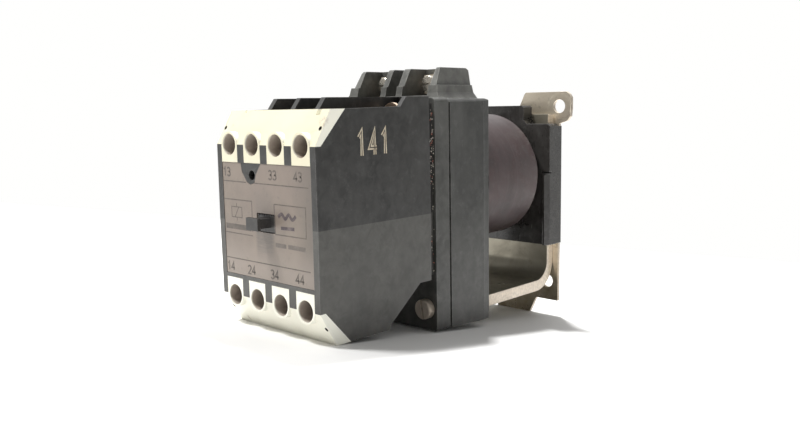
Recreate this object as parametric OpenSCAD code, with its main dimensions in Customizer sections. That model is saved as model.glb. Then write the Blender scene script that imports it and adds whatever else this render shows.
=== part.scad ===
// Four-pole industrial control relay: a contact block worked by a hinged-armature magnet.
// The origin lies on the back face of the mounting plate, level with the middle of the contact block.
// +X is to the right seen from the front, +Z is up, and the front faces -Y. Millimetres.

/* [Overall] */
// Width of the contact block and of the magnet housing
body_w = 50; // [49.6:0.1:50.4]
// Depth from the front face to the back of the mounting plate
overall_d = 134.5; // [132:0.5:138]
// Distance between neighbouring poles
pole_pitch = 12; // [11.9:0.05:12.1]

/* [Contact block] */
// Depth of the contact block
block_d = 50; // [49:0.5:51]
// Height of the upright front face
front_h = 49.8; // [49:0.1:50.6]
// Height over the two terminal covers
block_h = 71.4; // [70.6:0.1:72]
// Height of the barrier tips above the middle
barrier_z = 39.3; // [38:0.1:40]
// Diameter of a screwdriver hole in a terminal cover
driver_hole_d = 6.9; // [6.4:0.1:7.2]
// Width of a terminal cover's front tab
tab_w = 8.5; // [8:0.1:8.8]

/* [Motion] */
// Travel of the contact carrier
carrier_travel = 3.6; // [3.2:0.1:3.8]
// Travel of the moving contacts
contact_travel = 2.6; // [2.2:0.1:2.8]
// Height of the carrier above the armature's hinge
lever_arm = 36; // [35.5:0.1:36.5]

/* [Magnet] */
// Height of the coil axis above the middle of the contact block
coil_z = 8; // [7.5:0.1:8.5]
// Outer diameter of the wrapped coil
coil_d = 48.8; // [47:0.2:49.4]
// Diameter of the magnet core
core_d = 19.8; // [18:0.2:19.8]
// Thickness of the yoke strip
yoke_t = 4.5; // [4:0.1:4.8]
// Width of the yoke strip
yoke_w = 40; // [38:0.5:41]

/* [Mounting plate] */
// Thickness of the mounting plate
plate_t = 1.5; // [1.2:0.1:2]
// Diameter of a fixing hole
fixing_hole_d = 5.6; // [5.2:0.1:6]
// Distance between the two lower fixing holes
lower_spacing = 34.2; // [33:0.2:35]

/* [Hidden] */
$fn = 48;

// Clearance that keeps neighbouring pieces from sharing a surface
gap = 0.05;
// Overlap that lets a cutter run past a face
over = 1;

// Contact block, measured back from the front face
half_w = body_w / 2;
front_z = front_h / 2;
cover_z = block_h / 2;
cover_seat_y = 2.16;
cover_crest_y = 6.35;
cover_back_y = 12.2;
partition_t = 2;
chamber_w = pole_pitch - partition_t;
pole_x = [for (i = [0:3]) (i - 1.5) * pole_pitch];
partition_x = [for (i = [-1:1]) i * pole_pitch];
front_wall_y = 3.2;
carrier_zone_z = 9;
terminal_z = 24.9;
terminal_wall_y = 27.5;
terminal_wall_t = 3.5;
channel_floor_z = 31;
channel_back_y = block_d - 2;
tab_end_z = 19.1;
rear_gap = 2.5;

// Flange and magnet housing
flange_y = block_d + rear_gap;
flange_t = 7.1;
magnet_y = flange_y + flange_t;
magnet_d = 23.4;
magnet_back_y = magnet_y + magnet_d;
magnet_top_z = 38.5;
magnet_bottom_z = -41.4;
magnet_wall = 2.5;
boss_x = 19.6;
housing_screw_x = 20.3;
boss_z = -33.9;

// Plate, yoke and coil, measured back from the front face
plate_y = overall_d - plate_t;
yoke_back_y = plate_y;
yoke_front_y = yoke_back_y - yoke_t;
yoke_bottom_z = -40.3;
bobbin_flange_t = 6.2;
bobbin_lip_t = 1.8;
coil_taper_d = 7.8;
coil_end_r = 19.5;
coil_front_y = magnet_back_y + 1.5;
coil_back_y = yoke_front_y - bobbin_flange_t;
core_r = core_d / 2;
spool_r = core_r + 2;
tape_t = 0.5;

// Armature in its closed place, flat against the pole shoe
hinge_y = 70;
hinge_z = -lever_arm;
armature_front_y = 67.6;
armature_back_y = 72.4;
swing = carrier_travel / lever_arm * 180 / PI;
pole_face_y = armature_back_y + 0.3;

// Contacts at rest
bridge_y = 20;
bridge_t = 1.2;
tip_t = 1.2;
tip_z = 15;
fixed_tip_y = bridge_y + bridge_t + tip_t + contact_travel + gap;
strip_y = fixed_tip_y + tip_t;
strip_t = 1.2;
prong_x = 17;

black = "#2e2f31";
dark_grey = "#3a3b3c";
cream = "#f0ead2";
steel = "#b9b4a8";
zinc = "#b3a888";
brass = "#b8945a";
copper = "#b87a4b";
silver = "#d9d9d6";

// Places measured back from the front face
module from_front() {
    translate([0, -overall_d, 0]) children();
}

// A block between pairs of limits
module span(x, y, z) {
    translate([x[0], y[0], z[0]]) cube([x[1] - x[0], y[1] - y[0], z[1] - z[0]]);
}

// A (y, z) outline extruded across the width
module across(points, x0, x1) {
    translate([x0, 0, 0]) rotate([90, 0, 90]) linear_extrude(x1 - x0) polygon(points);
}

// An (x, z) outline extruded back from y0 to y1
module backwards(points, y0, y1) {
    translate([0, y1, 0]) rotate([90, 0, 0]) linear_extrude(y1 - y0) polygon(points);
}

// A round bar or cutter that runs back from y0 to y1
module bar_y(x, z, r, y0, y1) {
    translate([x, y0, z]) rotate([-90, 0, 0]) cylinder(r = r, h = y1 - y0);
}

// A turned piece about a front-to-back axis, from (radius, y) points
module turned_y(x, z, points) {
    translate([x, 0, z]) rotate([-90, 0, 0]) rotate_extrude() polygon(points);
}

// Points of an arc about (u, v)
function arc(u, v, r, a0, a1, n) = [for (i = [0:n]) let (a = a0 + (a1 - a0) * i / n) [u + r * cos(a), v + r * sin(a)]];

// Outline of a box of half width w from z0 to z1 with rounded lower and upper corners
function rounded_box(w, z0, z1, r0, r1) = concat(
    arc(w - r0, z0 + r0, r0, -90, 0, 5), arc(w - r1, z1 - r1, r1, 0, 90, 5),
    arc(r1 - w, z1 - r1, r1, 90, 180, 5), arc(r0 - w, z0 + r0, r0, 180, 270, 5));

// Same on the left and right
module both_sides() {
    children();
    mirror([1, 0, 0]) children();
}

// A slotted cheese-head screw whose head faces the front, its underside at y
module slotted_screw(x, y, z, head_r, head_h, shank_r, shank_l) {
    bevel = 0.3;
    difference() {
        union() {
            turned_y(x, z, [[0, y - head_h], [head_r - bevel, y - head_h], [head_r, y - head_h + bevel],
                [head_r, y], [0, y]]);
            bar_y(x, z, shank_r, y - gap, y + shank_l);
        }
        span([x - head_r - over, x + head_r + over], [y - head_h - over, y - head_h * 0.5],
            [z - head_r * 0.12, z + head_r * 0.12]);
    }
}

// Points of a circle in the (x, y) plane, for a wire section
function ring(r, n) = [for (i = [0:n - 1]) [r * cos(360 * i / n), r * sin(360 * i / n)]];

// A helical compression spring about a front-to-back axis, its ends flattened into dead turns
module coil_spring(x, z, y0, y1, r, wire_r, turns) {
    sides = 6;
    per_turn = 14;
    steps = turns * per_turn;
    run = y1 - y0 - 2 * wire_r;
    section = ring(wire_r, sides);
    function rise(i) = run * min(1, max(0, (i / per_turn - 0.8) / (turns - 1.6)));
    points = [for (i = [0:steps]) for (s = section)
        [x + (r + s[0]) * cos(360 * i / per_turn), y0 + wire_r + rise(i) + s[1],
            z + (r + s[0]) * sin(360 * i / per_turn)]];
    walls = [for (i = [0:steps - 1]) for (k = [0:sides - 1])
        [i * sides + k, i * sides + (k + 1) % sides, (i + 1) * sides + (k + 1) % sides, (i + 1) * sides + k]];
    start_cap = [[for (k = [sides - 1:-1:0]) k]];
    end_cap = [[for (k = [0:sides - 1]) steps * sides + k]];
    polyhedron(points, concat(walls, start_cap, end_cap));
}

// Outline of the side walls of the contact block
block_outline = [
    [0, -front_z], [0, front_z], [cover_seat_y, front_z], [cover_back_y, cover_z], [36.2, cover_z + 0.4],
    [39, barrier_z], [block_d, barrier_z], [block_d, -22.8], [44.4, -22.8], [29.8, -34.4], [29.8, -cover_z],
    [cover_back_y, -cover_z], [cover_seat_y, -front_z]
];

// Outline of an upper barrier between two wire channels
upper_barrier = [
    [cover_back_y, cover_z - 2], [cover_back_y, cover_z], [15, barrier_z], [block_d, barrier_z],
    [block_d, channel_floor_z], [terminal_wall_y, channel_floor_z]
];

// Outline of a lower barrier
lower_barrier = [
    [cover_back_y, 2 - cover_z], [cover_back_y, -cover_z], [15, -barrier_z], [24.5, -barrier_z], [29.8, -34],
    [29.8, -channel_floor_z]
];

// Space that one terminal, its fixed contact and its wires take up, above the carrier
upper_chamber = [
    [front_wall_y, carrier_zone_z - gap], [front_wall_y, 20.9], [cover_seat_y + gap, 20.9],
    [cover_seat_y + gap, 60], [channel_back_y, 60], [channel_back_y, channel_floor_z],
    [terminal_wall_y, channel_floor_z], [terminal_wall_y, carrier_zone_z - gap]
];

// The same below the carrier, where the housing is cut away behind
lower_chamber = [
    [front_wall_y, gap - carrier_zone_z], [front_wall_y, -20.9], [cover_seat_y + gap, -20.9],
    [cover_seat_y + gap, -60], [60, -60], [60, -channel_floor_z], [terminal_wall_y, -channel_floor_z],
    [terminal_wall_y, gap - carrier_zone_z]
];

// Slim draft on both sides of the parting line
draft = [
    [-half_w, 0], [-half_w + 0.45, 45], [half_w - 0.45, 45], [half_w, 0], [half_w - 0.45, -45],
    [-half_w + 0.45, -45]
];

module housing_cutters() {
    inner = half_w - partition_t;
    for (x = pole_x) {
        across(upper_chamber, x - chamber_w / 2, x + chamber_w / 2);
        across(lower_chamber, x - chamber_w / 2, x + chamber_w / 2);
        for (s = [-1, 1]) {
            span([x - tab_w / 2 - gap, x + tab_w / 2 + gap], [-over, cover_seat_y + 2 * gap],
                [min(s * tab_end_z, s * 25), max(s * tab_end_z, s * 25)]);
            bar_y(x, s * terminal_z, 1.9, terminal_wall_y - over, terminal_wall_y + terminal_wall_t + over);
        }
    }
    span([-inner, inner], [front_wall_y, block_d + rear_gap + over], [-carrier_zone_z, carrier_zone_z]);
    span([-inner, inner], [terminal_wall_y + terminal_wall_t, block_d + rear_gap + over], [-20.5, 28.5]);
    span([-inner, inner], [terminal_wall_y + terminal_wall_t, 38], [-28, -20]);
    span([-4.65, 4.65], [-over, front_wall_y + over], [-2.5, 3.5]);
    bar_y(-6.5, 15.3, 1.6, -over, front_wall_y + over);
    span([-22.45, 22.45], [-over, 0.9], [-17.85, tab_end_z]);
}

module contact_block_housing() {
    color(black) from_front() {
        difference() {
            union() {
                intersection() {
                    across(block_outline, -half_w, half_w);
                    backwards(draft, -over, block_d + over);
                }
                span([-half_w + 1.5, half_w - 1.5], [block_d - over, block_d + rear_gap], [-21.5, 37]);
            }
            housing_cutters();
        }
        for (x = partition_x) {
            across(upper_barrier, x - partition_t / 2, x + partition_t / 2);
            across(lower_barrier, x - partition_t / 2, x + partition_t / 2);
        }
        // The tongue that the notch of the label leaves bare
        difference() {
            backwards([[-12.2, 19], [-11.6, 16.1], [-9.25, 13.1], [-7.45, 12.4], [-5.4, 13], [-4.4, 15.8],
                [-1.9, 19]], 0.15, 0.95);
            bar_y(-6.5, 15.3, 1.6, -over, 2);
        }
        for (x = [-boss_x, boss_x], z = [-16, 24]) {
            difference() {
                bar_y(x, z, 3.3, terminal_wall_y + terminal_wall_t - gap, block_d + rear_gap);
                bar_y(x, z, 1.3, 38, block_d + rear_gap + over);
            }
        }
    }
}

// One terminal cover, drawn as the upper one: sloped front, tabs, and a sleeve round each screwdriver hole
// that stands out to the front face
module terminal_cover() {
    wall = 1.6;
    sleeve_r = 4.1;
    sleeve_end_y = 16.5;
    pin_hole = [23.8, 30.1];
    outline = [[0, front_z], [cover_crest_y, cover_z], [cover_back_y, cover_z], [cover_seat_y, front_z]];
    pocket = [[1.95, 25.1], [7.2, cover_z - wall], [10.6, cover_z - wall], [2.6, 25.1]];
    difference() {
        union() {
            difference() {
                intersection() {
                    across(outline, -half_w, half_w);
                    backwards(draft, -over, 20);
                }
                for (x = pole_x) {
                    across(pocket, x - 4.4, x + 4.4);
                }
            }
            for (x = pole_x) {
                span([x - tab_w / 2, x + tab_w / 2], [0, cover_seat_y], [tab_end_z + gap, front_z + 0.3]);
                bar_y(x, terminal_z, sleeve_r, 0, sleeve_end_y);
            }
        }
        for (x = pole_x) {
            bar_y(x, terminal_z, driver_hole_d / 2, -over, 20);
        }
        for (x = [-pin_hole[0], pin_hole[0]]) {
            bar_y(x, pin_hole[1], 0.5, 0, 5.2);
        }
    }
}

module top_terminal_cover() {
    color(cream) from_front() difference() {
        terminal_cover();
        // Release notches in the crest, beside the outer poles
        span([19.3, 21], [5.35, 9], [cover_z - 1.7, cover_z + over]);
        span([-16.6, -15.6], [5.9, 9], [cover_z - 0.8, cover_z + over]);
    }
}

module bottom_terminal_cover() {
    color(cream) from_front() mirror([0, 0, 1]) terminal_cover();
}

module label_plate() {
    outline = [
        [-22.4, -17.8], [22.4, -17.8], [22.4, 19.05], [-1.75, 19.05], [-4.3, 15.8], [-5.3, 12.9],
        [-7.45, 12.3], [-9.3, 13], [-11.7, 16.1], [-12.3, 19.05], [-22.4, 19.05]
    ];
    color("#a89b8f") from_front() difference() {
        backwards(outline, 0.15, 0.85);
        span([-4.65, 4.65], [-over, over + 1], [-2.5, 3.5]);
    }
}

// Slides back when the coil pulls: front plate, frame with one window per pole, rear plate and two prongs
module contact_carrier() {
    frame_z = carrier_zone_z - 0.5;
    frame_x = half_w - partition_t - 0.4;
    window_w = 7.6;
    frame_back_y = bridge_y + bridge_t + 5;
    color(black) from_front() difference() {
        union() {
            span([-frame_x, frame_x], [front_wall_y + 0.3, frame_back_y], [-frame_z, frame_z]);
            span([-4.4, 4.4], [0.4, front_wall_y + 0.4], [-2.25, 3.25]);
            // Push nub: a pad on a slimmer stem
            span([-2.2, 2.2], [-4.6, 0.5], [-0.7, 2.3]);
            span([-2.95, 2.95], [-5.4, -4.2], [-1.15, 2.75]);
            for (s = [-1, 1]) {
                span([s * prong_x - 2, s * prong_x + 2], [frame_back_y - over, 71.5], [-3, 3]);
                bar_y(s * 8, 0, 2.2, frame_back_y - over, frame_back_y + 8);
            }
            // Grip ribs on the indicator face
            for (i = [0:6]) {
                span([-3.9 + 1.2 * i, -3.3 + 1.2 * i], [0.05, 0.5], [2.8, 3.25]);
            }
        }
        for (x = pole_x) {
            span([x - window_w / 2, x + window_w / 2], [front_wall_y + 5.8, bridge_y + bridge_t],
                [-carrier_zone_z - over, carrier_zone_z + over]);
        }
        for (s = [-1, 1]) {
            translate([s * prong_x, drive_pin_y, 0]) rotate([0, 90, 0]) cylinder(r = 1.25, h = 6, center = true);
        }
    }
}

// The pins bear on the back of the armature
drive_pin_y = armature_back_y - carrier_travel + 1.25 + 0.15;

module drive_pins() {
    color(steel) from_front() for (s = [-1, 1]) {
        translate([s * prong_x, drive_pin_y, 0]) rotate([0, 90, 0]) cylinder(r = 1.25, h = 6.8, center = true);
    }
}

module moving_contact_bridges() {
    color(brass) from_front() for (x = pole_x) {
        span([x - 3, x + 3], [bridge_y, bridge_y + bridge_t], [-17.5, 17.5]);
        bar_y(x, 0, 1.6, bridge_y - 0.8, bridge_y + gap);
    }
}

module moving_contact_tips() {
    color(silver) from_front() for (x = pole_x, s = [-1, 1]) {
        bar_y(x, s * tip_z, 2, bridge_y + bridge_t, bridge_y + bridge_t + tip_t);
    }
}

module contact_springs() {
    color(steel) from_front() for (x = pole_x) {
        coil_spring(x, 0, front_wall_y + 5.8, bridge_y, 2.3, 0.3, 6);
    }
}

module return_springs() {
    color(steel) from_front() for (s = [-1, 1]) {
        coil_spring(s * 8, 0, bridge_y + bridge_t + 5, flange_y, 3.3, 0.4, 9);
    }
}

// One fixed contact strip, drawn for the top: it runs down to the contact and back to a rounded tab
module fixed_contact(x) {
    tab_y = 38.8;
    tab_z = 33.7;
    lug_r = 3.7;
    difference() {
        union() {
            span([x - 3.5, x + 3.5], [strip_y, strip_y + strip_t], [11.5, channel_floor_z + strip_t]);
            span([x - 3.5, x + 3.5], [strip_y, tab_y + strip_t], [channel_floor_z, channel_floor_z + strip_t]);
            bar_y(x, tab_z, lug_r, tab_y, tab_y + strip_t);
        }
        span([x - 5, x + 5], [tab_y - over, tab_y + strip_t + over], [25, channel_floor_z]);
        bar_y(x, terminal_z, 1.75, strip_y - over, strip_y + strip_t + over);
    }
}

module upper_fixed_contacts() {
    color(brass) from_front() for (x = pole_x) {
        fixed_contact(x);
    }
}

module lower_fixed_contacts() {
    color(brass) from_front() mirror([0, 0, 1]) for (x = pole_x) {
        difference() {
            span([x - 3.5, x + 3.5], [strip_y, strip_y + strip_t], [11.5, channel_floor_z]);
            bar_y(x, terminal_z, 1.75, strip_y - over, strip_y + strip_t + over);
        }
    }
}

module fixed_contact_tips() {
    color(silver) from_front() for (x = pole_x, s = [-1, 1]) {
        bar_y(x, s * tip_z, 2, fixed_tip_y, fixed_tip_y + tip_t);
    }
}

module upper_terminal_screws() {
    color(steel) from_front() for (x = pole_x) {
        slotted_screw(x, 21.6, terminal_z, 3, 2.2, 1.7, 8.6);
    }
}

module lower_terminal_screws() {
    color(steel) from_front() for (x = pole_x) {
        slotted_screw(x, 21.6, -terminal_z, 3, 2.2, 1.7, 8.6);
    }
}

// A square saddle under a terminal screw's head
module wire_clamp(x, z) {
    difference() {
        union() {
            span([x - 3.4, x + 3.4], [21.6, 22.8], [z - 3.2, z + 3.2]);
            for (s = [-1, 1]) {
                span([x + s * 2.9 - 0.5, x + s * 2.9 + 0.5], [22.7, 24], [z - 3.2, z + 3.2]);
            }
        }
        bar_y(x, z, 1.75, 20, 26);
    }
}

module upper_wire_clamps() {
    color(steel) from_front() for (x = pole_x) {
        wire_clamp(x, terminal_z);
    }
}

module lower_wire_clamps() {
    color(steel) from_front() for (x = pole_x) {
        wire_clamp(x, -terminal_z);
    }
}

// Four screws put in from behind, which hold the contact block on the flange
module contact_block_screws() {
    color(steel) from_front() for (x = [-boss_x, boss_x], z = [-16, 24]) {
        turned_y(x, z, [[0, 40], [1.25, 40], [1.25, magnet_y - 3], [2.7, magnet_y - 3], [2.7, magnet_y - 0.6],
            [0, magnet_y - 0.6]]);
    }
}

module front_flange() {
    color(dark_grey) from_front() difference() {
        union() {
            backwards(rounded_box(half_w, magnet_bottom_z, magnet_top_z + 0.3, 0.8, 1.6), flange_y, magnet_y);
            // Hooks under the top wall of the magnet housing
            both_sides() span([8, 14], [magnet_y - over, magnet_y + 4], [32.6, magnet_top_z - magnet_wall - gap]);
        }
        for (s = [-1, 1]) {
            span([s * prong_x - 2.6, s * prong_x + 2.6], [flange_y - over, magnet_y + over], [-3.6, 3.6]);
            bar_y(s * housing_screw_x, boss_z, 2.1, flange_y - over, magnet_y + over);
            for (z = [-16, 24]) {
                bar_y(s * boss_x, z, 1.5, flange_y - over, magnet_y + over);
                bar_y(s * boss_x, z, 3, magnet_y - 3, magnet_y + over);
            }
        }
    }
}

module housing_screws() {
    color(steel) from_front() for (s = [-1, 1]) {
        // Slot close to upright
        translate([s * housing_screw_x, 0, boss_z]) rotate([0, 80, 0]) {
            slotted_screw(0, flange_y, 0, 3.5, 2.6, 2, 18);
        }
    }
}

module magnet_housing() {
    inner_x = half_w - magnet_wall;
    inner_bottom = magnet_bottom_z + magnet_wall;
    inner_top = magnet_top_z - magnet_wall;
    crown = 1.8;
    sag = 1.5;
    shell = [
        [magnet_y, magnet_bottom_z], [magnet_y, magnet_top_z], [magnet_back_y - crown, magnet_top_z],
        [magnet_back_y - crown * 0.3, magnet_top_z - crown * 0.3], [magnet_back_y, magnet_top_z - crown],
        [magnet_back_y, magnet_bottom_z - sag + 1.1], [magnet_back_y - 1.2, magnet_bottom_z - sag]
    ];
    // Shallow band round the rear end of both sides
    plan = [
        [half_w, magnet_y], [half_w, magnet_back_y - 3.8], [half_w - 0.2, magnet_back_y - 3.5],
        [half_w - 0.3, magnet_back_y - 0.6], [half_w - 0.8, magnet_back_y]
    ];
    color(dark_grey) from_front() difference() {
        union() {
            difference() {
                intersection() {
                    across(shell, -half_w, half_w);
                    backwards(rounded_box(half_w, magnet_bottom_z - sag, magnet_top_z, 0.8, 1.8),
                        magnet_y - over, magnet_back_y + over);
                    translate([0, 0, magnet_bottom_z - 5]) linear_extrude(90) {
                        polygon(concat(plan, [for (i = [len(plan) - 1:-1:0]) [-plan[i].x, plan[i].y]]));
                    }
                }
                span([-inner_x, inner_x], [magnet_y - over, magnet_back_y - magnet_wall], [inner_bottom, inner_top]);
            }
            both_sides() {
                bar_y(housing_screw_x, boss_z, 4.4, magnet_y, hinge_y + 3.5);
                span([housing_screw_x, half_w - over], [magnet_y, hinge_y + 3.5], [boss_z - 4.4, boss_z + 4.4]);
                span([housing_screw_x - 4.4, half_w - over], [magnet_y, hinge_y + 3.5], [inner_bottom - over, boss_z]);
            }
        }
        both_sides() bar_y(housing_screw_x, boss_z, 2.05, magnet_y - over, hinge_y + 2);
        translate([0, hinge_y, hinge_z]) rotate([0, 90, 0]) cylinder(r = 1.5, h = 34.4, center = true);
        bar_y(0, coil_z, spool_r + 0.2, magnet_back_y - magnet_wall - over, magnet_back_y + over);
        span([-yoke_w / 2 - 0.1, yoke_w / 2 + 0.1], [hinge_y + 3.5, magnet_back_y + over],
            [yoke_bottom_z - 0.1, yoke_bottom_z + yoke_t + 0.1]);
        // Slots for the coil terminal strips
        both_sides() span([9.3, 12.3], [77.4, 79.2], [inner_top - over, magnet_top_z + over]);
        // Shadow groove below the crown of the front edge
        both_sides() span([half_w - 0.6, half_w + over], [magnet_y - over, magnet_y + 0.9],
            [magnet_bottom_z - over, magnet_top_z - 1.2]);
    }
}

// Coil terminal block: four leaning barriers on a base that spreads out to the housing's top
tower_base_z = magnet_top_z;
tower_ledge_z = 43.2;
tower_top_z = 49.3;

// Flat layer of the coil terminal block, half as wide as x
module tower_layer(x, y, z) {
    span([-x, x], y, [z, z + 0.02]);
}

module coil_terminal_block() {
    color(dark_grey) from_front() difference() {
        union() {
            hull() {
                tower_layer(19, [62.6, 76.6], tower_top_z - 0.02);
                tower_layer(19.3, [61.8, 77.7], tower_top_z - 0.8);
                tower_layer(20.3, [58.6, 77.8], tower_ledge_z - 0.6);
            }
            hull() {
                tower_layer(21.4, [58.2, 77], tower_ledge_z - 0.02);
                tower_layer(21.8, [57.6, 77.4], tower_ledge_z - 2.6);
            }
            hull() {
                tower_layer(21.8, [57.6, 77.4], tower_ledge_z - 2.62);
                tower_layer(23, [56.8, 78.2], tower_base_z);
            }
        }
        both_sides() {
            // Wire pockets, open to the front and top
            span([5.3, 17.4], [50, 71], [tower_base_z + 1.2, 60]);
            span([9.25, 12.35], [70, 79.3], [tower_base_z - over, tower_base_z + 3]);
            bar_y(10.85, 43.9, 1.5, 70, 76);
        }
        span([-2.8, 2.4], [50, 70], [tower_base_z + 1.2, 60]);
        // Step that clears the top of the flange
        span([-30, 30], [50, magnet_y + gap], [tower_base_z - over, tower_base_z + 0.35]);
    }
}

module coil_terminal_screws() {
    color(steel) from_front() for (s = [-1, 1]) {
        slotted_screw(s * 10.85, 67.2, 43.9, 3, 2.4, 1.45, 8.4);
    }
}

module coil_wire_clamps() {
    color(steel) from_front() for (s = [-1, 1]) {
        difference() {
            span([s * 10.85 - 3.4, s * 10.85 + 3.4], [67.2, 68.4], [40.5, 47.1]);
            bar_y(s * 10.85, 43.9, 1.5, 66, 70);
        }
    }
}

// Strips from the coil terminals down through the slots to the winding
module coil_terminal_strips() {
    color(brass) from_front() for (s = [-1, 1]) {
        difference() {
            union() {
                span([s * 10.85 - 3.6, s * 10.85 + 3.6], [70, 70.95], [tower_base_z + 1.25, 47.4]);
                span([s * 10.8 - 1.3, s * 10.8 + 1.3], [70, 78.8], [tower_base_z + 1.25, tower_base_z + 2.2]);
                span([s * 10.8 - 1.3, s * 10.8 + 1.3], [77.8, 78.8], [tower_base_z - 6, tower_base_z + 2.2]);
            }
            bar_y(s * 10.85, 43.9, 1.5, 69, 72);
        }
    }
}

// The armature is drawn closed and then swung open about its hinge
module swung_open() {
    translate([0, hinge_y, hinge_z]) rotate([swing, 0, 0]) translate([0, -hinge_y, -hinge_z]) children();
}

module armature() {
    plate_x = 20;
    color(zinc) from_front() swung_open() difference() {
        union() {
            span([-plate_x, plate_x], [armature_front_y, armature_back_y], [-28, 30]);
            span([-14, 14], [armature_front_y, armature_back_y], [hinge_z, -27]);
            translate([0, hinge_y, hinge_z]) rotate([0, 90, 0]) cylinder(r = 2.6, h = 28, center = true);
        }
        translate([0, hinge_y, hinge_z]) rotate([0, 90, 0]) cylinder(r = 1.55, h = 30, center = true);
        for (s = [-1, 1]) {
            span([s * prong_x - 2.4, s * prong_x + 2.4], [armature_front_y - over, armature_back_y + over],
                [-3.7, 3.9]);
        }
    }
}

module armature_hinge_pin() {
    color(steel) from_front() translate([0, hinge_y, hinge_z]) rotate([0, 90, 0]) {
        cylinder(r = 1.5, h = 34.2, center = true);
    }
}

// Thin brass disc that keeps the closed armature off the pole
module residual_gap_shim() {
    color(brass) from_front() swung_open() {
        bar_y(0, coil_z, 8, armature_back_y, armature_back_y + 0.2);
    }
}

module coil_bobbin() {
    shoulder_x = 12.2;
    shoulder_z = 28.2;
    crest_z = 35.6;
    foot_z = -20.7;
    flange = [
        [-half_w, foot_z], [half_w, foot_z], [half_w, shoulder_z - 1], [half_w - 1, shoulder_z],
        [shoulder_x + 1.6, shoulder_z], [shoulder_x, shoulder_z + 1.6], [shoulder_x, crest_z - 0.8],
        [shoulder_x - 0.8, crest_z], [0.8 - shoulder_x, crest_z], [-shoulder_x, crest_z - 0.8],
        [-shoulder_x, shoulder_z + 1.6], [-shoulder_x - 1.6, shoulder_z], [1 - half_w, shoulder_z],
        [-half_w, shoulder_z - 1]
    ];
    color("#1f2021") from_front() difference() {
        union() {
            bar_y(0, coil_z, spool_r, magnet_back_y - magnet_wall, yoke_front_y);
            bar_y(0, coil_z, coil_d / 2 - tape_t - gap, magnet_back_y, coil_front_y);
            backwards(flange, coil_back_y, yoke_front_y);
            // Bevelled lips on the lower half of both edges
            both_sides() translate([0, 0, foot_z]) linear_extrude(coil_z - foot_z) polygon([
                [22.8, coil_back_y - bobbin_lip_t], [23.8, coil_back_y - bobbin_lip_t], [half_w, coil_back_y],
                [half_w, coil_back_y + over], [22.8, coil_back_y + over]
            ]);
            // Wings that reach back past the edges of the yoke
            both_sides() span([yoke_w / 2 + 0.3, half_w], [yoke_front_y - over, plate_y - 2.1],
                [foot_z, shoulder_z - 1]);
        }
        bar_y(0, coil_z, core_r + gap, magnet_back_y - 10, yoke_front_y + over);
        // Lead slots level with the coil axis
        both_sides() span([half_w - 4, half_w + over], [coil_back_y - over, coil_back_y + 1.2],
            [coil_z + 0.4, coil_z + 1]);
    }
}

// Ring round the coil axis that narrows towards the rear flange
module coil_ring(outer_r, inner_r, end_inner_r, y0) {
    end_y = coil_back_y - gap;
    turned_y(0, coil_z, [[inner_r, y0], [outer_r, y0], [outer_r, end_y - coil_taper_d],
        [outer_r - coil_d / 2 + coil_end_r, end_y], [end_inner_r, end_y], [inner_r, end_y - coil_taper_d]]);
}

module coil_winding() {
    color(copper) from_front() {
        coil_ring(coil_d / 2 - tape_t, spool_r, spool_r, coil_front_y + gap);
    }
}

module coil_tape() {
    color("#5a4548") from_front() {
        coil_ring(coil_d / 2, coil_d / 2 - tape_t, coil_end_r - tape_t, magnet_back_y + gap);
    }
}

module magnet_core() {
    color(steel) from_front() difference() {
        bar_y(0, coil_z, core_r, pole_face_y + 4, yoke_front_y);
        bar_y(0, coil_z, 3, yoke_front_y - 16, yoke_front_y + over);
    }
}

module pole_shoe() {
    color(zinc) from_front() difference() {
        bar_y(0, coil_z, 14.5, pole_face_y, pole_face_y + 4);
        bar_y(0, coil_z, 8.5, pole_face_y - over, pole_face_y + 0.25);
    }
}

// Countersunk screw through the yoke into the core
module core_screw() {
    head_r = 6.5;
    cone_h = 3.5;
    color(steel) from_front() difference() {
        turned_y(0, coil_z, [[0, yoke_front_y - 15], [3, yoke_front_y - 15], [3, yoke_back_y - cone_h],
            [head_r, yoke_back_y], [0, yoke_back_y]]);
        span([-10, 10], [yoke_back_y - 1.2, yoke_back_y + over], [coil_z - 0.8, coil_z + 0.8]);
    }
}

module yoke() {
    inner_r = 7.5;
    outer_r = inner_r + yoke_t;
    bend_y = yoke_back_y - outer_r;
    bend_z = yoke_bottom_z + outer_r;
    leg_front_y = hinge_y + 4;
    leg_top_z = 32;
    outline = concat(
        [[leg_front_y, yoke_bottom_z]],
        arc(bend_y, bend_z, outer_r, -90, 0, 12),
        [[yoke_back_y, leg_top_z], [yoke_front_y, leg_top_z]],
        arc(bend_y, bend_z, inner_r, 0, -90, 12),
        [[leg_front_y, yoke_bottom_z + yoke_t]]
    );
    color(zinc) from_front() difference() {
        across(outline, -yoke_w / 2, yoke_w / 2);
        turned_y(0, coil_z, [[0, yoke_front_y - over], [3.1, yoke_front_y - over], [3.1, yoke_back_y - 3.6],
            [6.7, yoke_back_y], [6.7, yoke_back_y + over], [0, yoke_back_y + over]]);
        for (x = [-12, 12], z = [-16, 26]) {
            bar_y(x, z, 2, yoke_front_y - over, yoke_back_y + over);
        }
    }
}

// Fixing ear at the top right, two fixing holes at the bottom and a tapered foot below them
upper_hole = [22.5, 35.1];
lower_hole_z = -38.2;
foot_z = -53;

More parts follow.
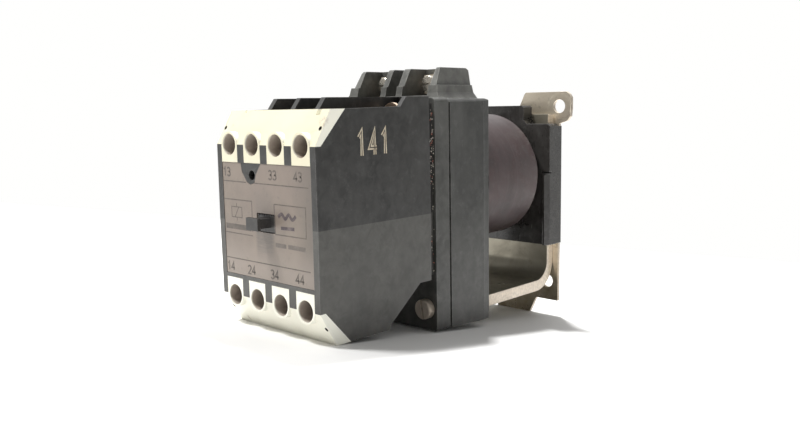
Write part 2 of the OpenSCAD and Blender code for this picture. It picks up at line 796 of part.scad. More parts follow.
module mounting_plate() {
    outline = [
        [-22.4, -46.3], [-11.7, -46.3], [-8.4, foot_z], [8.4, foot_z], [11.7, -46.3], [22.4, -46.3],
        [22.4, 28], [26.2, 29.2], [27.7, 31], [28, 34], [28, 38.6], [27.2, 39.9], [25.6, 41], [6.2, 41],
        [5.4, 40.4], [1.8, 33], [-22.4, 33]
    ];
    emboss_r = 5.9;
    emboss_h = 0.2;
    color(zinc) from_front() difference() {
        union() {
            backwards(outline, plate_y, overall_d);
            intersection() {
                turned_y(upper_hole[0], upper_hole[1], [[0, plate_y - emboss_h], [emboss_r - 1.2, plate_y - emboss_h],
                    [emboss_r, plate_y], [emboss_r, plate_y + 0.5], [0, plate_y + 0.5]]);
                backwards(outline, plate_y - over, overall_d);
            }
        }
        bar_y(upper_hole[0], upper_hole[1], fixing_hole_d / 2, plate_y - over, overall_d + over);
        for (s = [-1, 1]) {
            bar_y(s * lower_spacing / 2, lower_hole_z, fixing_hole_d / 2, plate_y - over, overall_d + over);
        }
        bar_y(0, coil_z, 6.8, plate_y - over, overall_d + over);
        for (x = [-12, 12], z = [-16, 26]) {
            turned_y(x, z, [[0, plate_y - over], [2, plate_y - over], [2, plate_y], [3.4, overall_d],
                [3.4, overall_d + over], [0, overall_d + over]]);
        }
    }
}

module plate_rivets() {
    color(steel) from_front() for (x = [-12, 12], z = [-16, 26]) {
        turned_y(x, z, [[0, yoke_front_y + 0.3], [1.95, yoke_front_y + 0.3], [1.95, plate_y],
            [3.3, overall_d - gap], [0, overall_d - gap]]);
    }
}

contact_block_housing();
top_terminal_cover();
bottom_terminal_cover();
label_plate();
contact_carrier();
drive_pins();
moving_contact_bridges();
moving_contact_tips();
contact_springs();
return_springs();
upper_fixed_contacts();
lower_fixed_contacts();
fixed_contact_tips();
upper_terminal_screws();
lower_terminal_screws();
upper_wire_clamps();
lower_wire_clamps();
contact_block_screws();
front_flange();
housing_screws();
magnet_housing();
coil_terminal_block();
coil_terminal_screws();
coil_wire_clamps();
coil_terminal_strips();
armature();
armature_hinge_pin();
residual_gap_shim();
coil_bobbin();
coil_winding();
coil_tape();
magnet_core();
pole_shoe();
core_screw();
yoke();
mounting_plate();
plate_rivets();
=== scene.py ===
import math
import random

import bpy
import bmesh
from mathutils import Matrix, Vector


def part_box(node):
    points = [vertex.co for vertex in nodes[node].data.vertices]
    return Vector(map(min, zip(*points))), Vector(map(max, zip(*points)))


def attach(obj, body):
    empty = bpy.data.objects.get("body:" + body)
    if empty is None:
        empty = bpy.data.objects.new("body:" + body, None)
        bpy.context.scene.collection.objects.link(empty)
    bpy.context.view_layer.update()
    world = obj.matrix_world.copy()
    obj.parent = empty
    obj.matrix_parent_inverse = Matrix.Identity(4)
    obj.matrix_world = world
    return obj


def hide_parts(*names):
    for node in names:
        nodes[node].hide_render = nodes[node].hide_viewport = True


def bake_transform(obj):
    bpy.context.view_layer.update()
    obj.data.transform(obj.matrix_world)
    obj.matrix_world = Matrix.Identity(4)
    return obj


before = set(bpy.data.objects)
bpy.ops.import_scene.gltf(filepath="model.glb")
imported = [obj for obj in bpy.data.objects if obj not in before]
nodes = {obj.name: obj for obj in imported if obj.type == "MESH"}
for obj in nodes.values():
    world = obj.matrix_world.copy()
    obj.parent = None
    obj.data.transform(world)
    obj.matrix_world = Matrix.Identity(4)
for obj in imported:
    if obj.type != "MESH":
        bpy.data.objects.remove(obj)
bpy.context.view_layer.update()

MM = 0.001


# ---------------------------------------------------------------- places

front_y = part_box("contact_block_housing")[0].y
block_side_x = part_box("contact_block_housing")[1].x
label_face_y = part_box("label_plate")[0].y
coil_low, coil_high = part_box("coil_tape")

POLE_X = 12 * MM          # the poles stand 6 and 18 mm either side of the middle
HALF_PITCH = 6 * MM
DRIVER_ROW_Z = 24.9 * MM  # screwdriver holes, above and below the middle
DRIVER_R = 3.5 * MM
PIN_X = 23.8 * MM         # mould pin holes in the covers
PIN_Z = 30.1 * MM
PARTING_Z = 0.15 * MM     # parting joint; below it the block's colour is painted paler, a painted reflection of the floor

SOFT_ANGLE = 32           # edges sharper than this are rounded, in degrees
PRINT_DEPTH = 0.03        # thickness of ink and paint, in mm
PRINT_SINK = 0.01         # how far a print starts inside its surface, in mm
TEXT_HEIGHT = 2.75
TEXT_WIDTH = 4.3
GLYPH_WIDTH = 0.6         # a glyph's box is this wide and 1 high
GLYPH_FILL = 0.78

LENS = 35.776
CAMERA_AT = (0.200419, -0.284263, 0.035589)
CAMERA_TURN = (43.549, 7.671, -1.047)   # azimuth, elevation and roll, in degrees
BACKDROP_SIDE = (-0.689, 0.725, 0.0)
FLOOR_HALF = 0.6
FLOOR_TURN = 43.5
LAMP_DISTANCE = 0.9


# ---------------------------------------------------------------- material building

class Mat:
    """A small helper that adds nodes and links them."""

    def __init__(self, name):
        self.m = bpy.data.materials.new(name)
        self.m.use_nodes = True
        self.t = self.m.node_tree
        self.bsdf = self.t.nodes["Principled BSDF"]
        self.coord = self.add("ShaderNodeTexCoord").outputs["Object"]

    def add(self, kind, **props):
        node = self.t.nodes.new(kind)
        for key, value in props.items():
            setattr(node, key, value)
        return node

    def plug(self, source, target):
        if hasattr(source, "is_linked") or hasattr(source, "links"):
            self.t.links.new(source, target)
        else:
            target.default_value = source

    def mapped(self, scale=(1, 1, 1), rotation=(0, 0, 0)):
        node = self.add("ShaderNodeMapping")
        self.plug(self.coord, node.inputs["Vector"])
        node.inputs["Scale"].default_value = scale
        node.inputs["Rotation"].default_value = rotation
        return node.outputs["Vector"]

    def noise(self, scale, detail=4.0, rough=0.55, vector=None, distortion=0.0):
        node = self.add("ShaderNodeTexNoise")
        self.plug(vector or self.coord, node.inputs["Vector"])
        node.inputs["Scale"].default_value = scale
        node.inputs["Detail"].default_value = detail
        node.inputs["Roughness"].default_value = rough
        node.inputs["Distortion"].default_value = distortion
        return node.outputs["Fac"]

    def remap(self, value, a, b, c=0.0, d=1.0):
        node = self.add("ShaderNodeMapRange", clamp=True)
        for key, v in zip(("Value", "From Min", "From Max", "To Min", "To Max"), (value, a, b, c, d)):
            self.plug(v, node.inputs[key])
        return node.outputs["Result"]

    def math(self, op, a, b=0.0):
        node = self.add("ShaderNodeMath", operation=op)
        self.plug(a, node.inputs[0])
        self.plug(b, node.inputs[1])
        return node.outputs[0]

    def mix(self, fac, a, b):
        node = self.add("ShaderNodeMix", data_type="RGBA", clamp_factor=True)
        self.plug(fac, node.inputs["Factor"])
        for colour, target in ((a, node.inputs[6]), (b, node.inputs[7])):
            self.plug(colour if not isinstance(colour, tuple) else (*colour, 1.0), target)
        return node.outputs[2]

    def xyz(self):
        node = self.add("ShaderNodeSeparateXYZ")
        self.plug(self.coord, node.inputs[0])
        return node.outputs

    def reach(self, a, b):
        """Length of the vector (a, b)."""
        squares = self.math("ADD", self.math("MULTIPLY", a, a), self.math("MULTIPLY", b, b))
        return self.math("SQRT", squares)

    def facing(self, axis, low, high):
        """1 where the face looks along the axis (0, 1 or 2) either way."""
        geometry = self.add("ShaderNodeNewGeometry")
        split = self.add("ShaderNodeSeparateXYZ")
        self.plug(geometry.outputs["True Normal"], split.inputs[0])
        return self.remap(self.math("ABSOLUTE", split.outputs[axis]), low, high)

    def edges(self, radius):
        """1 along convex and concave edges, 0 on open faces."""
        bevel = self.add("ShaderNodeBevel", samples=4)
        bevel.inputs["Radius"].default_value = radius
        geometry = self.add("ShaderNodeNewGeometry")
        dot = self.add("ShaderNodeVectorMath", operation="DOT_PRODUCT")
        self.plug(bevel.outputs["Normal"], dot.inputs[0])
        self.plug(geometry.outputs["Normal"], dot.inputs[1])
        return self.remap(self.math("SUBTRACT", 1.0, dot.outputs["Value"]), 0.02, 0.16)

    def bump(self, height, strength, distance, round_edges=None):
        """Bump, on top of rounded edges where the mesh itself has sharp ones."""
        node = self.add("ShaderNodeBump")
        if round_edges:
            bevel = self.add("ShaderNodeBevel", samples=8)
            bevel.inputs["Radius"].default_value = round_edges
            self.plug(bevel.outputs["Normal"], node.inputs["Normal"])
        node.inputs["Strength"].default_value = strength
        node.inputs["Distance"].default_value = distance
        self.plug(height, node.inputs["Height"])
        self.plug(node.outputs["Normal"], self.bsdf.inputs["Normal"])

    def surface(self, colour, rough, metal=None, spec=None):
        table = {"Base Color": colour, "Roughness": rough, "Metallic": metal, "Specular IOR Level": spec}
        for key, value in table.items():
            if value is not None:
                self.plug((*value, 1.0) if isinstance(value, tuple) else value, self.bsdf.inputs[key])
        return self.m


def black_plastic(name, base, light, rough=(0.34, 0.5), lower_sheen=0.0, rubbed=0.5,
                  shaded_top=None, round_edges=None):
    """Moulded thermoset: blotched, wiped and dusty, with fine scratches and paler edges, partly rubbed wear
    and partly a painted edge highlight. Options paint the lower half paler as a painted reflection of the
    floor, and the top darker as painted shade.
    """
    m = Mat(name)
    cloud = m.noise(60.0, 6.0, 0.6)
    blotch = m.remap(m.noise(260.0, 5.0, 0.6, distortion=0.5), 0.36, 0.66)
    fine = m.noise(900.0, 3.0, 0.7)
    dust = m.remap(m.noise(350.0, 8.0, 0.75), 0.54, 0.72)
    wiped = m.remap(m.noise(48.0, 5.0, 0.62, vector=m.mapped((1.5, 1.5, 0.4))), 0.48, 0.66)
    crumbs = m.remap(m.noise(1100.0, 4.0, 0.8), 0.70, 0.78)
    scratch = m.remap(m.noise(60.0, 2.0, 0.4, vector=m.mapped((14, 1, 3), (0.4, 0.2, 0.9))), 0.64, 0.70)
    wear = m.math("MULTIPLY", m.edges(0.55 * MM), m.remap(m.noise(420.0, 5.0, 0.65), 0.32, 0.62))
    pale = tuple(min(1.0, 0.035 + 1.5 * c) for c in light)
    colour = m.mix(m.remap(cloud, 0.35, 0.7), base, light)
    colour = m.mix(m.math("MULTIPLY", blotch, 0.35), colour, pale)
    # Painted reflection: below the parting joint the colour is paler, standing in for the floor reflected in
    # the lower half.
    if lower_sheen:
        z = m.xyz()[2]
        lower = m.remap(z, PARTING_Z + 0.1 * MM, PARTING_Z - 0.1 * MM)
        floor_reflection_colour = m.mix(blotch, (0.056, 0.0546, 0.0494), (0.082, 0.0802, 0.0732))
        colour = m.mix(m.math("MULTIPLY", lower, lower_sheen), colour, floor_reflection_colour)
    # Painted shade: the colour darkens towards the top, standing in for the dim room reflected in the upper
    # part.
    if shaded_top:
        high = m.remap(m.xyz()[2], shaded_top[0] * MM, shaded_top[1] * MM, 0.0, 0.55)
        colour = m.mix(high, colour, tuple(0.45 * c for c in base))
    colour = m.mix(m.math("MULTIPLY", wiped, 0.30), colour, pale)
    dusty = tuple(min(1.0, 0.13 + 1.5 * c) for c in light)
    colour = m.mix(m.math("MULTIPLY", dust, 0.20), colour, dusty)
    colour = m.mix(m.math("MULTIPLY", crumbs, 0.35), colour, (0.20, 0.17, 0.15))
    # Paler edges: partly rubbed wear, partly a painted edge highlight.
    colour = m.mix(m.math("MULTIPLY", wear, rubbed), colour, tuple(min(1.0, 0.14 + 2.0 * c) for c in light))
    r = m.remap(cloud, 0.3, 0.75, rough[0], rough[1])
    r = m.math("ADD", r, m.math("MULTIPLY", m.math("MAXIMUM", scratch, wiped), 0.10))
    height = m.math("ADD", fine, m.math("MULTIPLY", scratch, -0.6))
    m.bump(height, 0.22, 0.05 * MM, round_edges)
    return m.surface(colour, r)


def cream_plastic(name, low, high):
    m = Mat(name)
    cloud = m.noise(45.0, 5.0, 0.6)
    yellow = m.remap(m.noise(14.0, 3.0, 0.5), 0.4, 0.75)
    # Painted light: faces looking along X are painted paler, standing in for light from the right.
    end = m.facing(0, 0.3, 0.6)
    specks = m.remap(m.noise(700.0, 5.0, 0.8), 0.70, 0.8)
    wear = m.math("MULTIPLY", m.edges(0.4 * MM), m.remap(m.noise(380.0, 5.0, 0.6), 0.45, 0.7))
    colour = m.mix(m.remap(cloud, 0.35, 0.7), low, high)
    colour = m.mix(m.math("MULTIPLY", yellow, 0.35), colour, (0.66, 0.585, 0.40))
    colour = m.mix(m.math("MULTIPLY", end, 0.8), colour, (0.96, 0.95, 0.85))
    colour = m.mix(m.math("MULTIPLY", specks, 0.5), colour, (0.30, 0.22, 0.15))
    colour = m.mix(m.math("MULTIPLY", wear, 0.30), colour, (0.36, 0.29, 0.22))
    # Painted shade: the walls of the screwdriver holes are painted brown, darker with depth and with patchy
    # tone, and the pin holes are painted near-black
    x, y, z = m.xyz()
    from_pair = m.math("ABSOLUTE", m.math("SUBTRACT", m.math("ABSOLUTE", x), POLE_X))
    from_pole = m.math("SUBTRACT", from_pair, HALF_PITCH)
    from_row = m.math("SUBTRACT", m.math("ABSOLUTE", z), DRIVER_ROW_Z)
    tube = m.remap(m.reach(from_pole, from_row), DRIVER_R + 0.12 * MM, DRIVER_R)
    tube = m.math("MULTIPLY", tube, m.remap(y, front_y + 0.05 * MM, front_y + 0.7 * MM))
    depth_shade = m.remap(y, front_y + 0.5 * MM, front_y + 9.0 * MM)
    hole_shade = m.mix(depth_shade, (0.46, 0.39, 0.33), (0.15, 0.118, 0.098))
    patchy = m.math("MULTIPLY", m.remap(m.noise(500.0, 5.0, 0.7), 0.4, 0.65), 0.5)
    hole_shade = m.mix(patchy, hole_shade, (0.26, 0.21, 0.175))
    colour = m.mix(m.math("MULTIPLY", tube, 0.93), colour, hole_shade)
    # Painted shade: the pin holes are painted near-black.
    from_pin = m.reach(m.math("SUBTRACT", m.math("ABSOLUTE", x), PIN_X),
                       m.math("SUBTRACT", m.math("ABSOLUTE", z), PIN_Z))
    colour = m.mix(m.remap(from_pin, 0.75 * MM, 0.55 * MM), colour, (0.03, 0.026, 0.022))
    stain = stain_mask(m)
    colour = m.mix(m.math("MULTIPLY", stain, 0.7), colour, (0.36, 0.25, 0.20))
    m.bump(m.noise(1200.0, 3.0, 0.6), 0.12, 0.04 * MM)
    return m.surface(colour, m.remap(cloud, 0.3, 0.7, 0.36, 0.5))


def stain_mask(m):
    """Brown handling marks at the right end of the top cover and on the bottom cover."""
    total = None
    marks = ((23.6, 4.6, 32.2, 1.9), (24.4, 3.4, 31.4, 1.2), (-18.6, 5.3, -34.0, 1.4),
             (-20.5, 3.0, 31.0, 1.0))
    for x, y, z, r in marks:
        spot = m.add("ShaderNodeVectorMath", operation="DISTANCE")
        m.plug(m.coord, spot.inputs[0])
        spot.inputs[1].default_value = (x * MM, front_y + y * MM, z * MM)
        near = m.remap(spot.outputs["Value"], r * MM, 0.2 * r * MM)
        total = near if total is None else m.math("MAXIMUM", total, near)
    return m.math("MULTIPLY", total, m.remap(m.noise(900.0, 5.0, 0.7), 0.42, 0.62))


def label_metal(name):
    """Printed matt foil with a painted shadow of the push nub below it, a fainter darkening above the nub, a
    darker right end and a lower part painted paler as light from the floor.
    """
    m = Mat(name)
    x, _, z = m.xyz()
    cloud = m.noise(90.0, 6.0, 0.65)
    fibre = m.noise(260.0, 4.0, 0.6, vector=m.mapped((1, 1, 7)))
    nub_band_x = m.math("MULTIPLY", m.remap(x, -6.0 * MM, -4.6 * MM), m.remap(x, 4.2 * MM, 2.4 * MM))
    nub_shadow_z = m.math("MULTIPLY", m.remap(z, -12.5 * MM, -8.5 * MM), m.remap(z, 4.0 * MM, -2.0 * MM))
    streak = m.math("MULTIPLY", nub_band_x, nub_shadow_z)
    streak = m.math("MULTIPLY", streak, m.remap(fibre, 0.3, 0.62, 0.45, 1.0))
    above = m.math("MULTIPLY", m.remap(z, 13.0 * MM, 5.0 * MM), m.remap(z, 2.0 * MM, 4.0 * MM))
    up_streak = m.math("MULTIPLY", nub_band_x, above)
    colour = m.mix(m.remap(cloud, 0.35, 0.68), (0.178, 0.147, 0.120), (0.243, 0.203, 0.168))
    warm = m.math("MULTIPLY", m.remap(m.noise(25.0, 3.0), 0.45, 0.7), 0.4)
    colour = m.mix(warm, colour, (0.235, 0.187, 0.162))
    # Painted shadow of the push nub, falling below it; above the nub lies a fainter darkening.
    colour = m.mix(m.math("MULTIPLY", streak, 0.60), colour, (0.092, 0.088, 0.083))
    colour = m.mix(m.math("MULTIPLY", up_streak, 0.25), colour, (0.14, 0.13, 0.12))
    right = m.math("MULTIPLY", m.remap(x, 13.0 * MM, 21.5 * MM), 0.65)
    colour = m.mix(right, colour, (0.125, 0.108, 0.094))
    # Painted light: the lower part is paler, standing in for light bounced up from the floor.
    colour = m.mix(m.math("MULTIPLY", m.remap(z, -5.0 * MM, -14.0 * MM), 0.5), colour, (0.35, 0.300, 0.262))
    specks = m.remap(m.noise(800.0, 5.0, 0.8), 0.66, 0.76)
    colour = m.mix(m.math("MULTIPLY", specks, 0.45), colour, (0.12, 0.10, 0.09))
    blots = m.remap(m.noise(330.0, 4.0, 0.7), 0.60, 0.70)
    colour = m.mix(m.math("MULTIPLY", blots, 0.25), colour, (0.10, 0.09, 0.085))
    m.bump(m.math("ADD", fibre, cloud), 0.10, 0.03 * MM)
    return m.surface(colour, m.remap(cloud, 0.3, 0.7, 0.42, 0.6), metal=0.0)


def coil_cloth(name):
    """Maroon lacquered cloth tape: soft bands round the coil, fine weave, chalky dust, a frayed rear end;
    painted shade on its top and bottom and a painted light band at mid-height.
    """
    m = Mat(name)
    _, y, z = m.xyz()
    bands = m.noise(110.0, 3.0, 0.5, vector=m.mapped((0.25, 1.6, 0.25)))
    streak = m.remap(m.noise(260.0, 5.0, 0.7, vector=m.mapped((0.35, 1.5, 0.35))), 0.55, 0.75)
    cloud = m.noise(70.0, 6.0, 0.65)
    weave = m.add("ShaderNodeTexWave", wave_type="BANDS", bands_direction="Y", wave_profile="SIN")
    m.plug(m.coord, weave.inputs["Vector"])
    weave.inputs["Scale"].default_value = 900.0
    weave.inputs["Distortion"].default_value = 1.2
    dust = m.remap(m.noise(240.0, 8.0, 0.8), 0.52, 0.72)
    seam = m.math("MULTIPLY", m.remap(y, coil_high.y - 21.6 * MM, coil_high.y - 21.2 * MM),
                  m.remap(y, coil_high.y - 20.6 * MM, coil_high.y - 21.0 * MM))
    end_dust = m.remap(y, coil_high.y - 26 * MM, coil_high.y - 6 * MM)
    colour = m.mix(m.remap(bands, 0.35, 0.65), (0.024, 0.013, 0.014), (0.050, 0.031, 0.032))
    colour = m.mix(m.math("MULTIPLY", m.remap(cloud, 0.42, 0.72), 0.6), colour, (0.056, 0.045, 0.046))
    colour = m.mix(m.math("MULTIPLY", end_dust, 0.40), colour, (0.105, 0.086, 0.083))
    maroon = m.remap(m.noise(130.0, 5.0, 0.7, distortion=0.6), 0.44, 0.64)
    colour = m.mix(m.math("MULTIPLY", maroon, 0.65), colour, (0.046, 0.018, 0.019))
    colour = m.mix(m.math("MULTIPLY", streak, 0.20), colour, (0.12, 0.095, 0.093))
    colour = m.mix(m.math("MULTIPLY", seam, 0.10), colour, (0.17, 0.14, 0.14))
    grey = m.math("MULTIPLY", dust, m.math("ADD", 0.20, m.math("MULTIPLY", end_dust, 0.35)))
    colour = m.mix(grey, colour, (0.17, 0.15, 0.143))
    fray = m.math("MULTIPLY", m.remap(y, coil_high.y - 11 * MM, coil_high.y - 8 * MM),
                  m.remap(m.noise(300.0, 6.0, 0.8, vector=m.mapped((1, 0.3, 1))), 0.46, 0.62))
    colour = m.mix(m.math("MULTIPLY", fray, 0.6), colour, (0.15, 0.135, 0.125))
    # Painted shade: the top and the bottom of the coil are painted darker.
    top_shade = m.remap(z, coil_high.z - 16 * MM, coil_high.z - 3 * MM, 0.0, 0.5)
    colour = m.mix(top_shade, colour, (0.020, 0.011, 0.012))
    bottom_shade = m.remap(z, coil_low.z + 18 * MM, coil_low.z + 4 * MM, 0.0, 0.7)
    colour = m.mix(bottom_shade, colour, (0.020, 0.011, 0.011))
    # Painted light: a band at mid-height is painted paler, as light on the coil's side.
    side = m.math("MULTIPLY", m.remap(z, coil_high.z - 14 * MM, coil_high.z - 22 * MM),
                  m.remap(z, coil_low.z + 14 * MM, coil_low.z + 24 * MM))
    colour = m.mix(m.math("MULTIPLY", side, 0.25), colour, (0.11, 0.082, 0.080))
    height = m.math("ADD", m.math("MULTIPLY", weave.outputs["Fac"], 0.3), m.math("ADD", cloud, streak))
    m.bump(height, 0.25, 0.06 * MM)
    return m.surface(colour, m.remap(cloud, 0.3, 0.7, 0.40, 0.60), spec=0.45)


def plated_steel(name, bright, dull, rough=(0.26, 0.46), stain=0.5, stain_colour=(0.16, 0.13, 0.08),
                 metal=1.0, brush=(1, 1, 1), sheared=None, darker_below=None):
    """Passivated sheet or bar: rolled grain, cloudy passivation, brown spots. Sheared is the colour of the
    faces that look along X. The colour turns darker and browner from 12 mm above a given height down to it."""
    m = Mat(name)
    cloud = m.noise(55.0, 6.0, 0.65, distortion=0.6)
    grain = m.noise(900.0, 3.0, 0.6, vector=m.mapped(brush))
    spots = m.remap(m.noise(190.0, 7.0, 0.75), 0.56, 0.70)
    pits = m.remap(m.noise(1300.0, 4.0, 0.8), 0.64, 0.74)
    wear = m.edges(0.35 * MM)
    colour = m.mix(m.remap(cloud, 0.35, 0.68), bright, dull)
    colour = m.mix(m.math("MULTIPLY", spots, stain), colour, stain_colour)
    # The colour turns darker and browner towards a given height at the bottom.
    if darker_below is not None:
        low = m.remap(m.xyz()[2], darker_below + 12 * MM, darker_below)
        colour = m.mix(m.math("MULTIPLY", low, m.remap(cloud, 0.25, 0.6, 0.55, 0.9)), colour, stain_colour)
    if sheared:
        cut = m.mix(m.remap(grain, 0.35, 0.7), sheared, tuple(0.72 * c for c in sheared))
        colour = m.mix(m.facing(0, 0.6, 0.9), colour, cut)
    colour = m.mix(m.math("MULTIPLY", pits, 0.5), colour, (0.07, 0.055, 0.04))
    colour = m.mix(m.math("MULTIPLY", wear, 0.5), colour, tuple(min(1.0, 1.2 * c) for c in bright))
    r = m.remap(cloud, 0.3, 0.7, rough[0], rough[1])
    r = m.math("ADD", r, m.math("MULTIPLY", spots, 0.15))
    m.bump(m.math("ADD", grain, m.math("MULTIPLY", pits, -0.8)), 0.16, 0.03 * MM)
    return m.surface(colour, r, metal=metal)


def print_ink(name, colour, faded):
    m = Mat(name)
    patch = m.noise(420.0, 5.0, 0.7)
    shade = m.mix(m.remap(patch, 0.40, 0.72), colour, faded)
    m.bump(m.noise(1500.0, 3.0), 0.1, 0.02 * MM)
    return m.surface(shade, m.remap(patch, 0.3, 0.7, 0.5, 0.7))


# ---------------------------------------------------------------- carried-over nodes

def dress(node, material):
    mesh = nodes[node].data
    mesh.materials.clear()
    mesh.materials.append(material)
    for polygon in mesh.polygons:
        polygon.material_index = 0


def soften(node, width):
    """Rounds a moulded or stamped node's edges."""
    o = nodes[node]
    weld = o.modifiers.new("weld", "WELD")
    weld.merge_threshold = 0.0005 * MM
    bevel = o.modifiers.new("bevel", "BEVEL")
    bevel.width = width
    bevel.segments = 2
    bevel.limit_method = "ANGLE"
    bevel.angle_limit = math.radians(SOFT_ANGLE)
    bevel.use_clamp_overlap = True
    normals = o.modifiers.new("normals", "WEIGHTED_NORMAL")
    normals.keep_sharp = False
    normals.weight = 80


MATERIALS = {
    "block": black_plastic("block_black", (0.0080, 0.0078, 0.0072), (0.0195, 0.0190, 0.0172), lower_sheen=1.0),
    "flange": black_plastic("flange_grey", (0.027, 0.0272, 0.0243), (0.049, 0.0490, 0.0440),
                            rough=(0.30, 0.42)),
    "housing": black_plastic("housing_grey", (0.027, 0.0272, 0.0247), (0.050, 0.0500, 0.0455),
                             rough=(0.30, 0.42), shaded_top=(-18.0, 8.0)),
    "tower": black_plastic("tower_grey", (0.063, 0.063, 0.057), (0.120, 0.119, 0.107), rough=(0.30, 0.44),
                           rubbed=0.8),
    "bobbin": black_plastic("bobbin_black", (0.0115, 0.0100, 0.0088), (0.0225, 0.0205, 0.0180),
                            rough=(0.16, 0.30), round_edges=0.45 * MM),
    "carrier": black_plastic("carrier_black", (0.014, 0.013, 0.012), (0.030, 0.028, 0.026), rough=(0.4, 0.55),
                             rubbed=0.12),
    "cream": cream_plastic("cream_plastic", (0.70, 0.665, 0.50), (0.76, 0.73, 0.57)),
    # Painted light: the bottom cover's cream is a brighter copy of the top cover's, standing in for light
    # bounced up from the floor; it is also a little less yellow.
    "cream_brightened": cream_plastic("cream_plastic_brightened", (0.95, 0.93, 0.81), (0.98, 0.965, 0.85)),
    "label": label_metal("label_foil"),
    "coil": coil_cloth("coil_tape"),
    "yoke": plated_steel("yoke_zinc", (0.34, 0.315, 0.25), (0.23, 0.21, 0.165), rough=(0.26, 0.42),
                         stain_colour=(0.13, 0.112, 0.075), metal=0.6, sheared=(0.74, 0.65, 0.54)),
    "plate": plated_steel("plate_zinc", (0.85, 0.76, 0.62), (0.66, 0.58, 0.46), rough=(0.24, 0.42),
                          metal=0.75, sheared=(0.50, 0.43, 0.35), darker_below=-41 * MM),
    "screw": plated_steel("screw_nickel", (0.74, 0.69, 0.60), (0.60, 0.54, 0.45), rough=(0.16, 0.32),
                          stain=0.35),
    "worn_screw": plated_steel("screw_worn", (0.54, 0.47, 0.395), (0.38, 0.325, 0.27), rough=(0.32, 0.46),
                               stain=0.4, metal=0.45),
    "brass": plated_steel("strip_brass", (0.78, 0.62, 0.48), (0.66, 0.50, 0.38), rough=(0.26, 0.44),
                          stain=0.35),
    "silver": plated_steel("tip_silver", (0.85, 0.85, 0.83), (0.66, 0.66, 0.65), rough=(0.3, 0.5), stain=0.5,
                           stain_colour=(0.08, 0.08, 0.09)),
    "iron": plated_steel("turned_iron", (0.46, 0.45, 0.44), (0.36, 0.35, 0.34), rough=(0.3, 0.45), stain=0.4),
    "spring": plated_steel("spring_wire", (0.58, 0.58, 0.57), (0.45, 0.45, 0.44), rough=(0.2, 0.35),
                           stain=0.2),
    "copper": plated_steel("winding_copper", (0.60, 0.26, 0.14), (0.48, 0.19, 0.10), rough=(0.2, 0.35),
                           stain=0.2, brush=(0.1, 4, 0.1)),
}

WEARS = {
    "block": ["contact_block_housing"],
    "carrier": ["contact_carrier"],
    "flange": ["front_flange"],
    "housing": ["magnet_housing"],
    "tower": ["coil_terminal_block"],
    "bobbin": ["coil_bobbin"],
    "cream": ["top_terminal_cover"],
    "cream_brightened": ["bottom_terminal_cover"],
    "label": ["label_plate"],
    "coil": ["coil_tape"],
    "yoke": ["yoke", "armature"],
    "plate": ["mounting_plate", "upper_wire_clamps", "lower_wire_clamps", "coil_wire_clamps"],
    "screw": ["upper_terminal_screws", "lower_terminal_screws", "contact_block_screws",
              "coil_terminal_screws", "armature_hinge_pin", "core_screw", "plate_rivets", "drive_pins"],
    "worn_screw": ["housing_screws"],
    "brass": ["moving_contact_bridges", "upper_fixed_contacts", "lower_fixed_contacts",
              "coil_terminal_strips", "residual_gap_shim"],
    "silver": ["moving_contact_tips", "fixed_contact_tips"],
    "iron": ["magnet_core", "pole_shoe"],
    "spring": ["contact_springs", "return_springs"],
    "copper": ["coil_winding"],
}
for key, names in WEARS.items():
    for node in names:
        dress(node, MATERIALS[key])

EDGE_WIDTHS = {
    "contact_block_housing": 0.18, "top_terminal_cover": 0.15, "bottom_terminal_cover": 0.15,
    "front_flange": 0.3, "magnet_housing": 0.3, "coil_terminal_block": 0.35, "yoke": 0.25,
    "mounting_plate": 0.12, "contact_carrier": 0.12, "label_plate": 0.05,
}
for node, width in EDGE_WIDTHS.items():
    soften(node, width * MM)


def pressed_spring(node):
    """A copy of a spring node that stands in for it, baked in place; the node itself is hidden."""
    source = nodes[node]
    coils = bpy.data.objects.new(node + "_coils", source.data.copy())
    bpy.context.scene.collection.objects.link(coils)
    coils.matrix_world = source.matrix_world
    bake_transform(coils)
    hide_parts(node)


pressed_spring("return_springs")
pressed_spring("contact_springs")


# ---------------------------------------------------------------- printed marks

def stroke_points(glyph):
    """Centre lines of a generic digit, in a box 0.6 wide and 1 high."""
    def arc(cx, cz, rx, rz, a0, a1, n=14):
        return [(cx + rx * math.cos(math.radians(a0 + (a1 - a0) * i / n)),
                 cz + rz * math.sin(math.radians(a0 + (a1 - a0) * i / n))) for i in range(n + 1)]
    return {
        "1": [[(0.12, 0.76), (0.36, 1.0), (0.36, 0.0)]],
        "2": [arc(0.3, 0.72, 0.27, 0.28, 165, -25) + [(0.04, 0.02), (0.58, 0.02)]],
        "3": [arc(0.28, 0.75, 0.25, 0.25, 155, -90), arc(0.28, 0.26, 0.29, 0.26, 90, -155)],
        "4": [[(0.45, 0.0), (0.45, 1.0), (0.02, 0.30), (0.62, 0.30)]],
    }[glyph]


def ribbon(bm, points, width, depth, place):
    """A closed flat strip along a polyline; place maps (u, v, w) to object space."""
    pts = [Vector((p[0], p[1])) for p in points]
    rows = []
    for i, p in enumerate(pts):
        before = (p - pts[i - 1]).normalized() if i else (pts[1] - p).normalized()
        after = (pts[i + 1] - p).normalized() if i < len(pts) - 1 else before
        along = (before + after)
        along = along.normalized() if along.length > 1e-6 else before
        side = Vector((-along.y, along.x))
        reach = width / 2 / max(0.45, abs(side.dot(Vector((-before.y, before.x)))))
        left, right = p + side * reach, p - side * reach
        corners = ((left, 0), (right, 0), (right, depth), (left, depth))
        rows.append([bm.verts.new(place(q.x, q.y, w)) for q, w in corners])
    for a, b in zip(rows, rows[1:]):
        for k in range(4):
            bm.faces.new((a[k], a[(k + 1) % 4], b[(k + 1) % 4], b[k]))
    bm.faces.new(rows[0][::-1])
    bm.faces.new(rows[-1])


